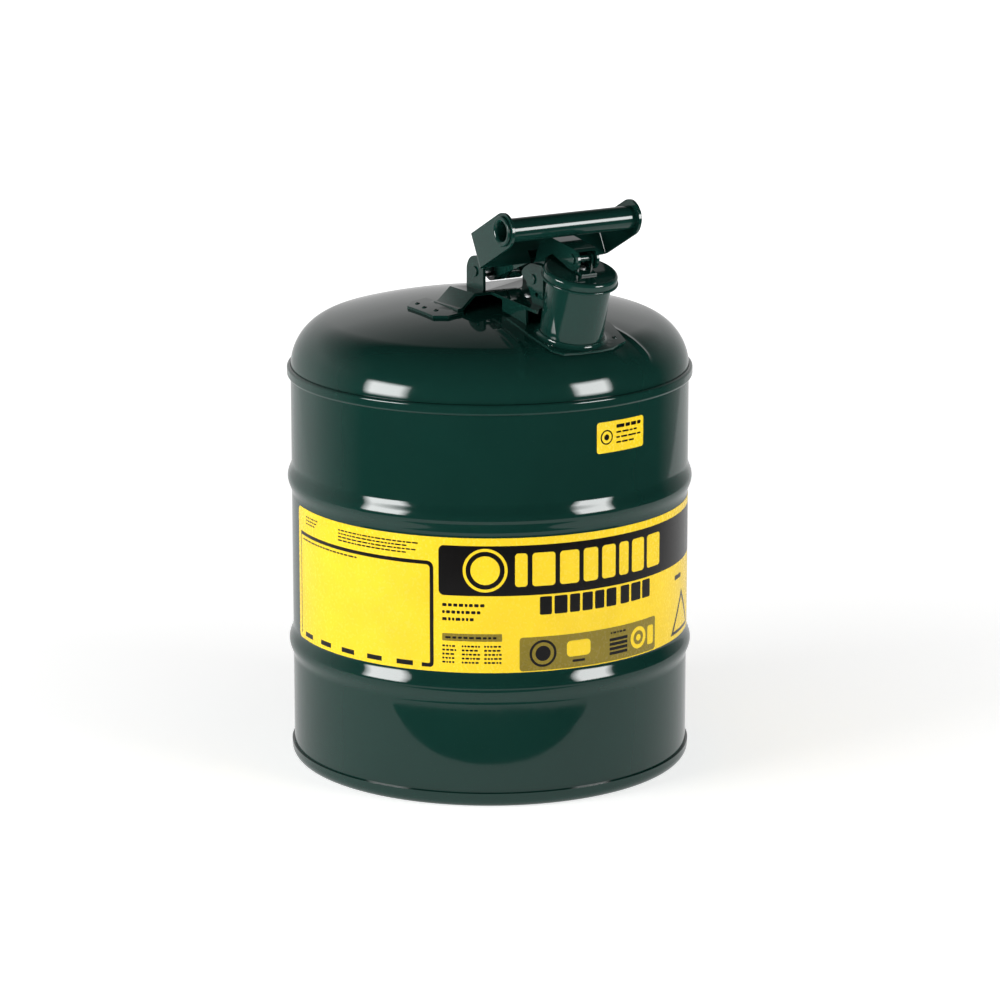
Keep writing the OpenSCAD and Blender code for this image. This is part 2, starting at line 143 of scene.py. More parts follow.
def profile_of(node, place=Matrix.Identity(4)):
    """The closed (radius, height) profile of a turned CAD node about the Z axis of place."""
    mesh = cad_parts[node].data
    to_local = place.inverted()
    keys, points = [], {}
    for v in mesh.vertices:
        p = to_local @ v.co
        r = math.hypot(p.x, p.y)
        key = (round(r / MM, 2), round(p.z / MM, 2))
        keys.append(key)
        points.setdefault(key, (0.0 if r < 1e-5 else r, p.z))
    links = {key: set() for key in points}
    for edge in mesh.edges:
        a, b = keys[edge.vertices[0]], keys[edge.vertices[1]]
        if a != b:
            links[a].add(b)
            links[b].add(a)
    start = min(links, key=lambda k: (len(links[k]), k))
    path, last = [start], None
    while True:
        ahead = [k for k in sorted(links[path[-1]])
                 if k != last and (k == start or k not in path)]
        if not ahead or (ahead[0] == start and len(ahead) == 1):
            profile = [points[k] for k in path]
            if len(links[start]) == 1:  # a solid bar: its flat ends reach the axis
                profile = [(0.0, profile[0][1])] + profile + [(0.0, profile[-1][1])]
            return profile
        last = path[-1]
        path.append(next(k for k in ahead if k != start))


def refined(profile, parts=4):
    """A finer profile: its bends are drawn as smooth curves through the same points.
    Corners, straight runs and long steps stay as they are."""
    corner, straight, longest = math.radians(28), math.radians(0.3), 8 * MM
    points = [Vector(p) for p in profile]
    n = len(points)
    turns = [(points[(i + 1) % n] - points[i]).angle(points[i] - points[i - 1], 0)
             for i in range(n)]
    most = max(p.x for p in points)
    result = []
    for i in range(n):
        a, b, c, d = points[i - 1], points[i], points[(i + 1) % n], points[(i + 2) % n]
        result.append(tuple(b))
        ends = (turns[i], turns[(i + 1) % n])
        if max(ends) >= corner or min(ends) < straight or (c - b).length > longest:
            continue
        for k in range(1, parts):
            t = k / parts
            ahead = (c - a) * (c - b).length / ((b - a).length + (c - b).length)
            back_way = (d - b) * (c - b).length / ((c - b).length + (d - c).length)
            p = ((2 * t ** 3 - 3 * t ** 2 + 1) * b + (t ** 3 - 2 * t ** 2 + t) * ahead
                 + (3 * t ** 2 - 2 * t ** 3) * c + (t ** 3 - t ** 2) * back_way)
            result.append((min(p.x, most), p.y))
    return result


def turned(name, node, body, material, place=Matrix.Identity(4), segments=FINE,
           edge=0.15 * MM):
    """A fine lathe in place of a turned CAD node."""
    profile = refined(profile_of(node, place))
    piece = add(name, lathe_mesh(name, profile, place, segments), body, material, [node])
    if edge:
        soften(piece, edge, 2)


def sheet_metal(name, node, body, material, edge, segments=3):
    """The CAD node's own shape with its flat faces made whole and its edges rounded."""
    bm = bmesh.new()
    bm.from_mesh(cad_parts[node].data)
    bmesh.ops.remove_doubles(bm, verts=bm.verts, dist=1e-6)
    bmesh.ops.dissolve_limit(bm, angle_limit=math.radians(0.6), verts=bm.verts, edges=bm.edges)
    piece = add(name, finish_mesh(name, bm), body, material, [node])
    soften(piece, edge, segments)


# ---------------------------------------------------------------- camera

camera = bpy.data.objects.new("camera", bpy.data.cameras.new("camera"))
scene.collection.objects.link(camera)
scene.camera = camera
camera.data.lens = 151.84
camera.data.clip_end = 60
aim = Vector((0.00403, 0.00642, 0.19184))
back = Vector((0.82218, -0.51661, 0.23901))
camera_distance = 3.1283
camera.location = aim + camera_distance * back
camera.rotation_mode = "QUATERNION"
camera.rotation_quaternion = (-back).to_track_quat("-Z", "Y")


# ---------------------------------------------------------------- materials

def new_material(name):
    """A material, its nodes and links, its shader, and the object coordinates."""
    material = bpy.data.materials.new(name)
    material.use_nodes = True
    nodes, links = material.node_tree.nodes, material.node_tree.links
    shader = nodes["Principled BSDF"]
    place = nodes.new("ShaderNodeTexCoord")
    return material, nodes, links, shader, place.outputs["Object"]


def noise(nodes, links, place, scale, detail=4, rough=0.55):
    n = nodes.new("ShaderNodeTexNoise")
    n.inputs["Scale"].default_value = scale
    n.inputs["Detail"].default_value = detail
    n.inputs["Roughness"].default_value = rough
    links.new(place, n.inputs["Vector"])
    return n.outputs["Fac"]


def ramp(nodes, links, value, low, high, a, b):
    """Maps value from low..high to a..b."""
    n = nodes.new("ShaderNodeMapRange")
    n.inputs["From Min"].default_value = low
    n.inputs["From Max"].default_value = high
    n.inputs["To Min"].default_value = a
    n.inputs["To Max"].default_value = b
    links.new(value, n.inputs["Value"])
    return n.outputs["Result"]


def mix(nodes, links, factor, a, b):
    n = nodes.new("ShaderNodeMix")
    n.data_type = "RGBA"
    links.new(factor, n.inputs["Factor"])
    for socket, value in ((n.inputs["A"], a), (n.inputs["B"], b)):
        if isinstance(value, tuple):
            socket.default_value = (*value, 1)
        else:
            links.new(value, socket)
    return n.outputs["Result"]


def bump(nodes, links, height, distance, strength, below=None):
    n = nodes.new("ShaderNodeBump")
    n.inputs["Distance"].default_value = distance
    n.inputs["Strength"].default_value = strength
    links.new(height, n.inputs["Height"])
    if below:
        links.new(below, n.inputs["Normal"])
    return n.outputs["Normal"]


def enamel():
    """Dark green baked enamel: glossy, with orange peel, smudges and a few specks."""
    m, nodes, links, shader, place = new_material("green_enamel")
    tone = noise(nodes, links, place, 7)
    colour = mix(nodes, links, ramp(nodes, links, tone, 0.35, 0.65, 0, 1),
                 (0.0044, 0.0290, 0.0226), (0.0055, 0.0340, 0.0266))
    speck = nodes.new("ShaderNodeTexVoronoi")
    speck.inputs["Scale"].default_value = 260
    links.new(place, speck.inputs["Vector"])
    spot = ramp(nodes, links, speck.outputs["Distance"], 0.035, 0.07, 0.35, 0)
    colour = mix(nodes, links, spot, colour, (0.05, 0.09, 0.08))
    links.new(colour, shader.inputs["Base Color"])
    smudge = noise(nodes, links, place, 22, 6)
    links.new(ramp(nodes, links, smudge, 0.35, 0.7, 0.05, 0.09), shader.inputs["Roughness"])
    peel = bump(nodes, links, noise(nodes, links, place, 240, 1), 0.00003, 0.12)
    sag = bump(nodes, links, noise(nodes, links, place, 26, 2), 0.0004, 0.2, peel)
    links.new(sag, shader.inputs["Normal"])
    return m


def metal(name, dark, light, rough_low, rough_high, grain):
    """Bare or plated metal with uneven tone and polish and a fine grain."""
    m, nodes, links, shader, place = new_material(name)
    tone = noise(nodes, links, place, 120, 5)
    links.new(mix(nodes, links, tone, dark, light), shader.inputs["Base Color"])
    shader.inputs["Metallic"].default_value = 1
    polish = noise(nodes, links, place, 60, 6)
    links.new(ramp(nodes, links, polish, 0.3, 0.7, rough_low, rough_high),
              shader.inputs["Roughness"])
    links.new(bump(nodes, links, noise(nodes, links, place, grain, 3), 0.00005, 0.3),
              shader.inputs["Normal"])
    return m


def rubber():
    """Dull black rubber."""
    m, nodes, links, shader, place = new_material("black_rubber")
    tone = noise(nodes, links, place, 300, 5)
    links.new(mix(nodes, links, tone, (0.012, 0.012, 0.012), (0.03, 0.03, 0.029)),
              shader.inputs["Base Color"])
    links.new(ramp(nodes, links, tone, 0.3, 0.7, 0.55, 0.75), shader.inputs["Roughness"])
    links.new(bump(nodes, links, tone, 0.0001, 0.4), shader.inputs["Normal"])
    return m


def ink(name, dark, light, gloss=0.22, shine=0.5):
    """Printed vinyl or ink: a colour with slight mottling under a clear film."""
    m, nodes, links, shader, place = new_material(name)
    tone = noise(nodes, links, place, 34, 6)
    links.new(mix(nodes, links, ramp(nodes, links, tone, 0.3, 0.7, 0, 1), dark, light),
              shader.inputs["Base Color"])
    shader.inputs["Specular IOR Level"].default_value = shine
    fine = noise(nodes, links, place, 420, 3)
    links.new(ramp(nodes, links, fine, 0.3, 0.7, gloss, gloss + 0.08), shader.inputs["Roughness"])
    links.new(bump(nodes, links, fine, 0.00002, 0.12), shader.inputs["Normal"])
    return m


green = enamel()
zinc = metal("zinc", (0.42, 0.43, 0.44), (0.62, 0.62, 0.62), 0.25, 0.42, 900)
stainless = metal("stainless", (0.36, 0.36, 0.35), (0.55, 0.54, 0.52), 0.28, 0.4, 1400)
black = rubber()
vinyl = ink("yellow_vinyl", (0.93, 0.64, 0.003), (1.0, 0.70, 0.004))
print_black = ink("black_ink", (0.0025, 0.002, 0.002), (0.004, 0.0035, 0.0035), 0.18, 0.3)
print_olive = ink("olive_ink", (0.22, 0.165, 0.006), (0.26, 0.19, 0.008))


# ---------------------------------------------------------------- can

turned("can_wall", "body_shell", "can", green, edge=0)
turned("can_bottom", "bottom_pan", "can", green)
turned("can_chime", "bottom_chime", "can", green)
turned("can_top_seam", "top_seam", "can", green, edge=0.3 * MM)

spout_base = centre("arrester_end_cap")
spout_axis = centre("arrester_flange") - spout_base
spout = axis_frame(spout_base, spout_axis)
turned("spout_tube", "spout_neck", "can", green, spout, 160, 0.25 * MM)
turned("spout_rolled_rim", "spout_rim", "can", green, spout, 160, 0)
turned("lid_cap", "cap_shell", "cap", green, spout, 192, 0)
turned("lid_gasket", "cap_gasket", "cap", black, spout, 128, 0.4 * MM)
turned("lid_gasket_plate", "gasket_retainer", "cap", zinc, spout, 128, 0.2 * MM)
turned("lid_rivet", "cap_rivet", "cap", zinc, spout, 64, 0.25 * MM)

grip_axis = axis_frame(centre("grip_tube"), Vector((0, 1, 0)))
turned("grip", "grip_tube", "handle", green, grip_axis, 96, 0.12 * MM)

sheet_metal("can_collar", "spout_collar", "can", green, 0.5 * MM)
sheet_metal("bracket", "mount_bracket", "can", green, 0.55 * MM)
sheet_metal("yoke", "handle_yoke", "handle", green, 0.5 * MM)
sheet_metal("lever", "lid_lever", "lid", green, 0.5 * MM)
sheet_metal("cap_bracket", "cap_clevis", "cap", green, 0.4 * MM)

for name, node, body, slot, material in (("pivot_rod", "handle_pivot_pin", "can", "enamel", green),
                                         ("hinge_rod", "lid_hinge_pin", "can", "enamel", green),
                                         ("lever_rod", "clevis_pin", "lid", "enamel", green),
                                         ("pivot_bush", "pivot_sleeve", "handle", "zinc", zinc)):
    cross_axis = axis_frame(centre(node), Vector((0, 1, 0)))
    turned(name, node, body, material, cross_axis, 64, 0.35 * MM)
sheet_metal("spacers", "pivot_spacers", "can", zinc, 0.2 * MM, 2)


# ---------------------------------------------------------------- spot welds

def spot_welds(name, node, spots, direction, size):
    """Small dished spot welds where lines along direction from the spots meet a CAD node."""
    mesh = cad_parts[node].data
    tree = BVHTree.FromPolygons([v.co for v in mesh.vertices],
                                [tuple(f.vertices) for f in mesh.polygons])
    profile = [(0, 0.12), (0.35, 0.14), (0.6, 0.3), (0.8, 0.34), (0.95, 0.2), (1.05, -0.1),
               (0, -0.1)]
    bm = bmesh.new()
    for spot in spots:
        hit, normal, _, _ = tree.ray_cast(Vector(spot), direction)
        if hit is None:
            continue
        if normal.dot(direction) > 0:
            normal = -normal
        dish = lathe_mesh("dish", [(r * size, z * size * 0.9) for r, z in profile],
                          axis_frame(hit, normal), 32, 60)
        bm.from_mesh(dish)
        bpy.data.meshes.remove(dish)
    add(name, finish_mesh(name, bm, 60), "can", green)


weld_size = 1.9 * MM
over, out = 0.4, 0.15  # where the rays start: over the ground, and out along the spout's axis
foot_low, foot_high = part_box("mount_bracket")
foot_x = foot_low.x + 22 * MM
spot_welds("bracket_welds", "mount_bracket",
           [(foot_x + dx * MM, side * (foot_high.y - dy * MM), over)
            for side in (-1, 1) for dx, dy in ((-13, 8), (0, 6), (13, 8))],
           Vector((0, 0, -1)), weld_size)
spot_welds("collar_welds", "spout_collar",
           [tuple(spout @ Vector((x * MM, y * MM, out)))
            for x, y in ((-29, -20), (-29, 24), (10, 31), (10, -24))],
           -spout_axis.normalized(), weld_size)


# ---------------------------------------------------------------- dome

def segment_distance(p, a, b):
    """Distance from p to the segment from a to b, in the plane."""
    dx, dy = b[0] - a[0], b[1] - a[1]
    t = min(1, max(0, ((p[0] - a[0]) * dx + (p[1] - a[1]) * dy) / (dx * dx + dy * dy)))
    return math.hypot(p[0] - a[0] - t * dx, p[1] - a[1] - t * dy)


def smooth(low, high, x):
    """0 at low, 1 at high, and a smooth step between them."""
    t = min(1, max(0, (x - low) / (high - low)))
    return t * t * (3 - 2 * t)


def dome_press(x, y):
    """Height in metres of the pressed creases and boss round the spout, over the plain dome."""
    x, side = x / MM, abs(y) / MM
    rail = [(80, 40), (92, 41), (104, 42.5), (115, 45), (122, 48), (128, 52)]
    near = min(segment_distance((x, side), a, b) for a, b in zip(rail, rail[1:]))
    crease = 1.2 * math.exp(-(near / 2.4) ** 2)
    boss = math.exp(-((x - 133) / 7) ** 2) * smooth(34, 20, side)
    return (crease + boss) * MM


def dome():
    """The domed top: a crown and a shoulder, pressed round the spout, with the spout's hole."""
    low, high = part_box("dome_top")
    crown_r, shoulder_r, sheet = 440 * MM, 38 * MM, 0.7 * MM
    crown_z = high.z - crown_r
    turn_r = high.y - shoulder_r
    turn_z = crown_z + math.sqrt((crown_r - shoulder_r) ** 2 - turn_r ** 2)
    lean = math.atan2(turn_r, turn_z - crown_z)
    crown_steps, shoulder_steps = 110, 44
    outer = [(crown_r, 0, crown_z, lean * i / crown_steps) for i in range(crown_steps + 1)]
    outer += [(shoulder_r, turn_r, turn_z, lean + (math.pi / 2 - lean) * i / shoulder_steps)
              for i in range(1, shoulder_steps + 1)]

    def at(r, middle_r, middle_z, a):
        return (middle_r + r * math.sin(a), middle_z + r * math.cos(a))

    outside = [at(*p) for p in outer] + [(high.y, low.z)]
    inside = [at(p[0] - sheet, *p[1:]) for p in outer] + [(high.y - sheet, low.z)]
    turn = [math.radians(-40 + 0.5 * i) for i in range(161)]  # finer on the spout's side
    turn += [math.radians(40 + 1.25 * i) for i in range(1, 224)]
    mesh = lathe_mesh("dome", outside + inside[::-1], turn=turn)
    press_z = 0.2  # the press works outwards from the axis at this height
    for v in mesh.vertices:
        if v.co.x > 70 * MM and abs(v.co.y) < 60 * MM:
            fade = smooth(low.z + 2 * MM, low.z + 14 * MM, v.co.z)
            lift = dome_press(v.co.x, v.co.y) * fade
            v.co += lift * Vector((v.co.x, v.co.y, v.co.z - press_z)).normalized()
    piece = bpy.data.objects.new("dome", mesh)
    scene.collection.objects.link(piece)

    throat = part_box("spout_neck")[1].y + 0.05 * MM
    foot, head = -80 * MM, 120 * MM
    tool = bpy.data.objects.new("tool", lathe_mesh(
        "tool", [(0, foot), (throat, foot), (throat, head), (0, head)],
        axis_frame(centre("arrester_flange"), spout_axis), 128))
    scene.collection.objects.link(tool)
    cut = piece.modifiers.new("hole", "BOOLEAN")
    cut.object = tool
    bpy.context.view_layer.update()
    graph = bpy.context.evaluated_depsgraph_get()
    final = bpy.data.meshes.new_from_object(piece.evaluated_get(graph))
    final.name = "dome"
    bpy.data.objects.remove(piece)
    bpy.data.objects.remove(tool)
    final.polygons.foreach_set("use_smooth", [True] * len(final.polygons))
    final.set_sharp_from_angle(angle=math.radians(35))
    add("dome", final, "can", green, ["dome_top"])


dome()


# ---------------------------------------------------------------- flame arrester and spring

for name, node in (("arrester_seat", "arrester_flange"),
                   ("arrester_ring", "arrester_retaining_ring"),
                   ("arrester_cap", "arrester_end_cap")):
    turned(name, node, "can", stainless, spout, 96, 0.15 * MM)


def wire_cloth(name, node, pitch, wire):
    """A tube of woven wire on the middle surface of a CAD screen."""
    profile = profile_of(node, spout)
    r = (min(p[0] for p in profile) + max(p[0] for p in profile)) / 2
    z0, z1 = min(p[1] for p in profile), max(p[1] for p in profile)
    around, along = round(2 * math.pi * r / pitch), round((z1 - z0) / pitch)
    bm = bmesh.new()
    rings = []
    for k in range(along + 1):
        z = z0 + wire / 2 + (z1 - z0 - wire) * k / along
        rings.append([bm.verts.new(spout @ Vector((r * math.cos(a), r * math.sin(a), z)))
                      for a in (2 * math.pi * i / around for i in range(around))])
    for low_ring, high_ring in zip(rings, rings[1:]):
        for i in range(around):
            j = (i + 1) % around
            bm.faces.new([low_ring[i], low_ring[j], high_ring[j], high_ring[i]])
    piece = add(name, finish_mesh(name, bm), "can", stainless, [node])
    weave = piece.modifiers.new("weave", "WIREFRAME")
    weave.thickness = wire
    weave.use_even_offset = False


wire_cloth("arrester_cloth_outer", "arrester_outer_screen", 2.1 * MM, 0.45 * MM)
wire_cloth("arrester_cloth_inner", "arrester_inner_screen", 1.9 * MM, 0.4 * MM)


def tube_mesh(name, path, radius, sides=16):
    """A round bar swept along a path of points."""
    bm = bmesh.new()
    rings = []
    up = Vector((1, 0, 0))
    for i, p in enumerate(path):
        along = (path[min(i + 1, len(path) - 1)] - path[max(i - 1, 0)]).normalized()
        side = (up - up.dot(along) * along).normalized()
        up = side
        other = along.cross(side)
        rings.append([bm.verts.new(p + radius * (math.cos(a) * side + math.sin(a) * other))
                      for a in (2 * math.pi * k / sides for k in range(sides))])
    for one, two in zip(rings, rings[1:]):
        for k in range(sides):
            j = (k + 1) % sides
            bm.faces.new([one[k], one[j], two[j], two[k]])
    bm.faces.new(rings[0][::-1])
    bm.faces.new(rings[-1])
    return finish_mesh(name, bm, 50)


def spring():
    """The lid's torsion spring: a coil round the hinge pin with a leg at each end, as one fixed
    piece.
    """
    pin = centre("lid_hinge_pin")
    low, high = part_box("lid_spring")
    wire, turns, coil_r = 1.9 * MM, 5, 4.8 * MM
    half = (high.y - low.y - wire) / 2
    middle = (high.y + low.y) / 2
    steps = 40 * turns
    path = []
    for i in range(steps + 1):
        a = math.pi + 2 * math.pi * turns * i / steps
        path.append(pin + Vector((coil_r * math.cos(a),
                                  middle - half + 2 * half * i / steps - pin.y,
                                  coil_r * math.sin(a))))
    first, last = path[0].copy(), path[-1].copy()
    parts, inset = 8, 0.1 * MM
    up, down = high.z - first.z - inset, last.z - low.z - inset
    upper = [first + Vector((0, 0, up * (1 - k / parts))) for k in range(parts)]
    lower = [last - Vector((0, 0, down * (k + 1) / parts)) for k in range(parts)]
    mesh = tube_mesh("spring", upper + path + lower, wire / 2)
    piece = bpy.data.objects.new("spring", mesh)
    scene.collection.objects.link(piece)
    mesh.materials.append(zinc)
    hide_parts("lid_spring")
    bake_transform(piece)


spring()


# ---------------------------------------------------------------- labels

# Flat shapes are lists of loops of (u, v) points in millimetres: u runs along the label from its
# middle, v is the height over the ground

def arc_points(middle_u, middle_v, r, start, end, steps=8):
    """Points along an arc, from one angle in degrees to another."""
    return [(middle_u + r * math.cos(a), middle_v + r * math.sin(a))
            for a in (math.radians(start + (end - start) * i / steps) for i in range(steps + 1))]


def block(u0, u1, v0, v1, r=0.0):
    """A rectangle with corner radii, given once or for each corner from the lower left on."""
    radii = r if isinstance(r, tuple) else (r,) * 4
    corners = ((u0, v0), (u1, v0), (u1, v1), (u0, v1))
    inwards = ((1, 1), (-1, 1), (-1, -1), (1, -1))
    loop = []
    for (u, v), radius, (su, sv), start in zip(corners, radii, inwards, (180, 270, 0, 90)):
        if radius:
            loop += arc_points(u + su * radius, v + sv * radius, radius, start, start + 90)
        else:
            loop.append((u, v))
    return [loop]


def disc(u, v, r, hole=0.0):
    """A disc, or a ring where hole is its inner radius."""
    loops = [arc_points(u, v, r, 0, 360, 64)[:-1]]
    if hole:
        loops.append(arc_points(u, v, hole, 0, 360, 64)[:-1])
    return loops


def bars(u0, u1, v, height, seed, low=3.0, high=9.0, gap=1.1):
    """A row of short bars standing in for a line of print."""
    rng = random.Random(seed)
    row, u = [], u0
    while u < u1 - low:
        end = min(u1, u + rng.uniform(low, high))
        row.append(block(u, end, v, v + height, height * 0.3))
        u = end + gap
    return row


def uprights(u0, v0, v1, widths, gap, r):
    """A row of thick upright bars."""
    row = []
    for width in widths:
        row.append(block(u0, u0 + width, v0, v1, r))
        u0 += width + gap
    return row


def wrapped(name, shapes, radius, thickness, azimuth, material, step=2.5, replaces=()):
    """Flat shapes wrapped on an upright cylinder, with u 0 at an azimuth in degrees."""
    bm = bmesh.new()
    for loops in shapes:
        flat = [Vector((u, v, 0)) for loop in loops for u, v in loop]
        made = [bm.verts.new(p) for p in flat]
        for tri in tessellate_polygon([[Vector((u, v, 0)) for u, v in loop] for loop in loops]):
            if (flat[tri[1]] - flat[tri[0]]).cross(flat[tri[2]] - flat[tri[0]]).length > 1e-7:
                bm.faces.new([made[i] for i in tri])
    for face in bm.faces:
        face.normal_update()
        if face.normal.z < 0:
            face.normal_flip()
    us = [v.co.x for v in bm.verts]
    cut = math.ceil(min(us) / step) * step
    while cut < max(us):
        geometry = bm.verts[:] + bm.edges[:] + bm.faces[:]
        bmesh.ops.bisect_plane(bm, geom=geometry, dist=1e-4, plane_co=(cut, 0, 0),
                               plane_no=(1, 0, 0))
        cut += step
    for v in bm.verts:
        a = math.radians(azimuth) + v.co.x * MM / radius
        v.co = Vector((radius * math.cos(a), radius * math.sin(a), v.co.y * MM))
    mesh = bpy.data.meshes.new(name)
    bm.to_mesh(mesh)
    bm.free()
    mesh.polygons.foreach_set("use_smooth", [True] * len(mesh.polygons))
    piece = add(name, mesh, "can", material, replaces)
    thick = piece.modifiers.new("film", "SOLIDIFY")
    thick.thickness = thickness
    thick.offset = -1
    thick.use_rim = True
    crisp = piece.modifiers.new("crisp", "EDGE_SPLIT")
    crisp.split_angle = math.radians(40)


label_low, label_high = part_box("main_label")
label_r = label_high.y
reach = math.radians(104) * label_r / MM  # half the label's length
foot, head = label_low.z / MM, label_high.z / MM
wrapped("band_label", [block(-reach, reach, foot, head, 4)], label_r, film, 0, vinyl, 2.0,
        ["main_label"])

# The write-in frame at the left: a closed top and sides, and a dashed foot line
left, right, low_v, high_v = -261.0, -122.6, 103.6, 182.0
outline = [(left, low_v + 1), (left, high_v)]
outline += arc_points(right - 5, high_v - 5, 5, 90, 0) + arc_points(right - 3, low_v + 3, 3, 0, -90)
outline += [(right - 9, low_v), (right - 9, low_v + 3)]
outline += arc_points(right - 4, low_v + 4, 1.2, -90, 0)
outline += arc_points(right - 5.4, high_v - 5.4, 2.6, 0, 90)
outline += [(left + 1.1, high_v - 2.6), (left + 1.1, low_v + 1)]
black_shapes = [[outline[::-1]]]
black_shapes += [block(left + 8 + 25.4 * i, left + 21 + 25.4 * i, low_v, low_v + 3.6)
                 for i in range(5)]
for i in range(4):
    black_shapes += bars(-205, -134 - 9 * (i % 2), 193.6 - 2.5 * i, 1.1, 3 + i, 1.6, 5.0, 0.7)
for i in range(3):
    black_shapes += bars(-250, -229 - 3 * i, 194 - 2.5 * i, 1.0, 9 + i, 1.6, 4.0, 0.7)
black_shapes += bars(-256, -186, 176.2, 1.2, 13, 2.0, 6.0, 0.8)

# The black header, and under it thick upright bars where a title would be
black_shapes.append(block(-118.8, reach - 3, 157.5, 194.2, (4, 2, 2, 4)))
black_shapes += uprights(-46, 142.6, 156, (9, 10, 8, 8.5, 8, 9), 1.9, 1.2)
black_shapes += uprights(20, 142.6, 156, (8.5, 10, 9), 1.9, 1.2)

# Short lines, a small table and a plain triangle
for i in range(3):
    black_shapes += bars(-116.2, -84 - 4 * i, 149.4 - 5.2 * i, 2.3, 20 + i, 1.6, 3.4, 1.0)
for i in range(5):
    for j, (u0, u1) in enumerate(((-116.2, -106), (-102, -89), (-86, -73.5))):
        black_shapes += bars(u0, u1, 119.6 - 3.0 * i, 1.4, 30 + 3 * i + j, 1.2, 2.8, 0.7)
black_shapes.append([[(128.5, 104), (83.5, 104), (106, 135.5)],
                     [(106, 130.2), (88.4, 106.3), (123.6, 106.3)]])
for i, end in enumerate((246, 228, 238, 214)):
    black_shapes += bars(140, end, 148 - 4.6 * i, 2.0, 41 + i, 2.0, 6.0, 1.0)
black_shapes.append(block(90, 104, 145, 148.4, 0.8))
wrapped("band_print_black", black_shapes, label_r + layer, ink_t, 0, print_black)

olive_shapes = [block(-60.7, 58.4, 101.5, 126.5, 2.5), block(-116.2, -73.2, 124, 129.6, 0.8)]
wrapped("band_print_olive", olive_shapes, label_r + layer, ink_t, 0, print_olive)

# Plain marks on the olive panel, then the header's ring and bars, in a second layer
mark_shapes = [disc(-43.5, 114, 10, 8.2), disc(-43.5, 114, 5.6), block(-21, -11, 105.4, 107.2, 0.6)]
mark_shapes += [block(10, 27, 106 + 3.4 * i, 108.2 + 3.4 * i, 0.6) for i in range(4)]
mark_shapes += bars(11, 26, 121.6, 1.4, 55, 1.4, 3.0, 0.7)
mark_shapes += bars(-114, -75, 125.8, 1.6, 56, 1.6, 4.0, 1.2)
wrapped("band_print_marks", mark_shapes, label_r + 2 * layer, ink_t, 0, print_black)

top_shapes = [disc(-85.3, 176.3, 16, 13.9), disc(-85.3, 176.3, 10.5)]
top_shapes += uprights(-64, 164, 188.5, (9, 17, 15, 12, 12, 9, 13, 16), 3.5, 2.4)
for i, end in enumerate((232, 245, 226, 240)):
    top_shapes += bars(140, end, 186 - 6.2 * i, 2.2, 60 + i)
top_shapes += [block(-25.5, -6.5, 109.6, 121.4, 3.2), disc(38.5, 114.2, 8.2, 5.2),
               disc(38.5, 114.2, 2.4), block(48.8, 55.8, 106.4, 120.6, 1.6)]
wrapped("band_print_yellow", top_shapes, label_r + 2 * layer, ink_t, 0, vinyl)

# The small tag above the upper bead
tag_low, tag_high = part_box("listing_label")
tag_azimuth = math.degrees(math.atan2(tag_low.y + tag_high.y, tag_low.x + tag_high.x))
tag_half, tag_z0, tag_z1 = 22.0, tag_low.z / MM, tag_high.z / MM
wrapped("tag_label", [block(-tag_half, tag_half, tag_z0, tag_z1, 2.2)], label_r, film,
        tag_azimuth, vinyl, 2.0, ["listing_label"])
tag_mid = (tag_z0 + tag_z1) / 2
tag_shapes = [disc(-13.6, tag_mid, 5.4, 4.3), disc(-13.6, tag_mid, 2.2)]
for i, (width, height) in enumerate(((24, 2.6), (20, 1.3), (24, 1.3), (17, 1.3))):
    tag_shapes += bars(-5, -5 + width, tag_z1 - 5.6 - 3.7 * i, height, 70 + i, 3, 8, 1.0)
wrapped("tag_print", tag_shapes, label_r + layer, ink_t, tag_azimuth, print_black)


# ---------------------------------------------------------------- studio

def plane(name, corners, material):
    """A flat sheet of the studio, which is no part of the object."""
    mesh = bpy.data.meshes.new(name)
    mesh.from_pydata(corners, [], [list(range(len(corners)))])
    mesh.materials.append(material)
    piece = bpy.data.objects.new(name, mesh)
    scene.collection.objects.link(piece)
    return piece


towards = Vector((math.cos(camera_azimuth), math.sin(camera_azimuth), 0))
across = Vector((-towards.y, towards.x, 0))


def floor_finish():
    """White seamless paper: the glow grows with distance, so that the far floor stays white."""
    m, nodes, links, shader, place = new_material("white_paper")
    shader.inputs["Base Color"].default_value = (0.9, 0.9, 0.89, 1)
    shader.inputs["Roughness"].default_value = 0.9
    shader.inputs["Emission Color"].default_value = (1, 1, 1, 1)
    length = nodes.new("ShaderNodeVectorMath")
    length.operation = "LENGTH"
    links.new(place, length.inputs[0])
    links.new(ramp(nodes, links, length.outputs["Value"], 0.2, 2.2, 0.66, 1.25),
              shader.inputs["Emission Strength"])
    return m


def glow_finish(name, strength):
    """A plain even glow."""
    m = bpy.data.materials.new(name)
    m.use_nodes = True
    m.node_tree.nodes.clear()
    glow = m.node_tree.nodes.new("ShaderNodeEmission")
    glow.inputs["Strength"].default_value = strength
    out = m.node_tree.nodes.new("ShaderNodeOutputMaterial")
    m.node_tree.links.new(glow.outputs[0], out.inputs["Surface"])
    return m


def feathered_glow(name, strength, width, height):
    """A softbox face that fades towards its edges."""
    m = glow_finish(name, strength)
    nodes, links = m.node_tree.nodes, m.node_tree.links
    place = nodes.new("ShaderNodeTexCoord")
    split = nodes.new("ShaderNodeSeparateXYZ")
    links.new(place.outputs["Object"], split.inputs[0])
    level = None
    for axis, half in (("X", width / 2), ("Y", height / 2)):
        size = nodes.new("ShaderNodeMath")
        size.operation = "ABSOLUTE"
        links.new(split.outputs[axis], size.inputs[0])
        fade = ramp(nodes, links, size.outputs[0], 0.62 * half, half, 1, 0.12)
        both = nodes.new("ShaderNodeMath")
        both.operation = "MULTIPLY"
        both.inputs[0].default_value = strength
        if level:
            links.new(level, both.inputs[0])
        links.new(fade, both.inputs[1])
        level = both.outputs[0]
    links.new(level, next(n for n in nodes if n.type == "EMISSION").inputs["Strength"])
    return m


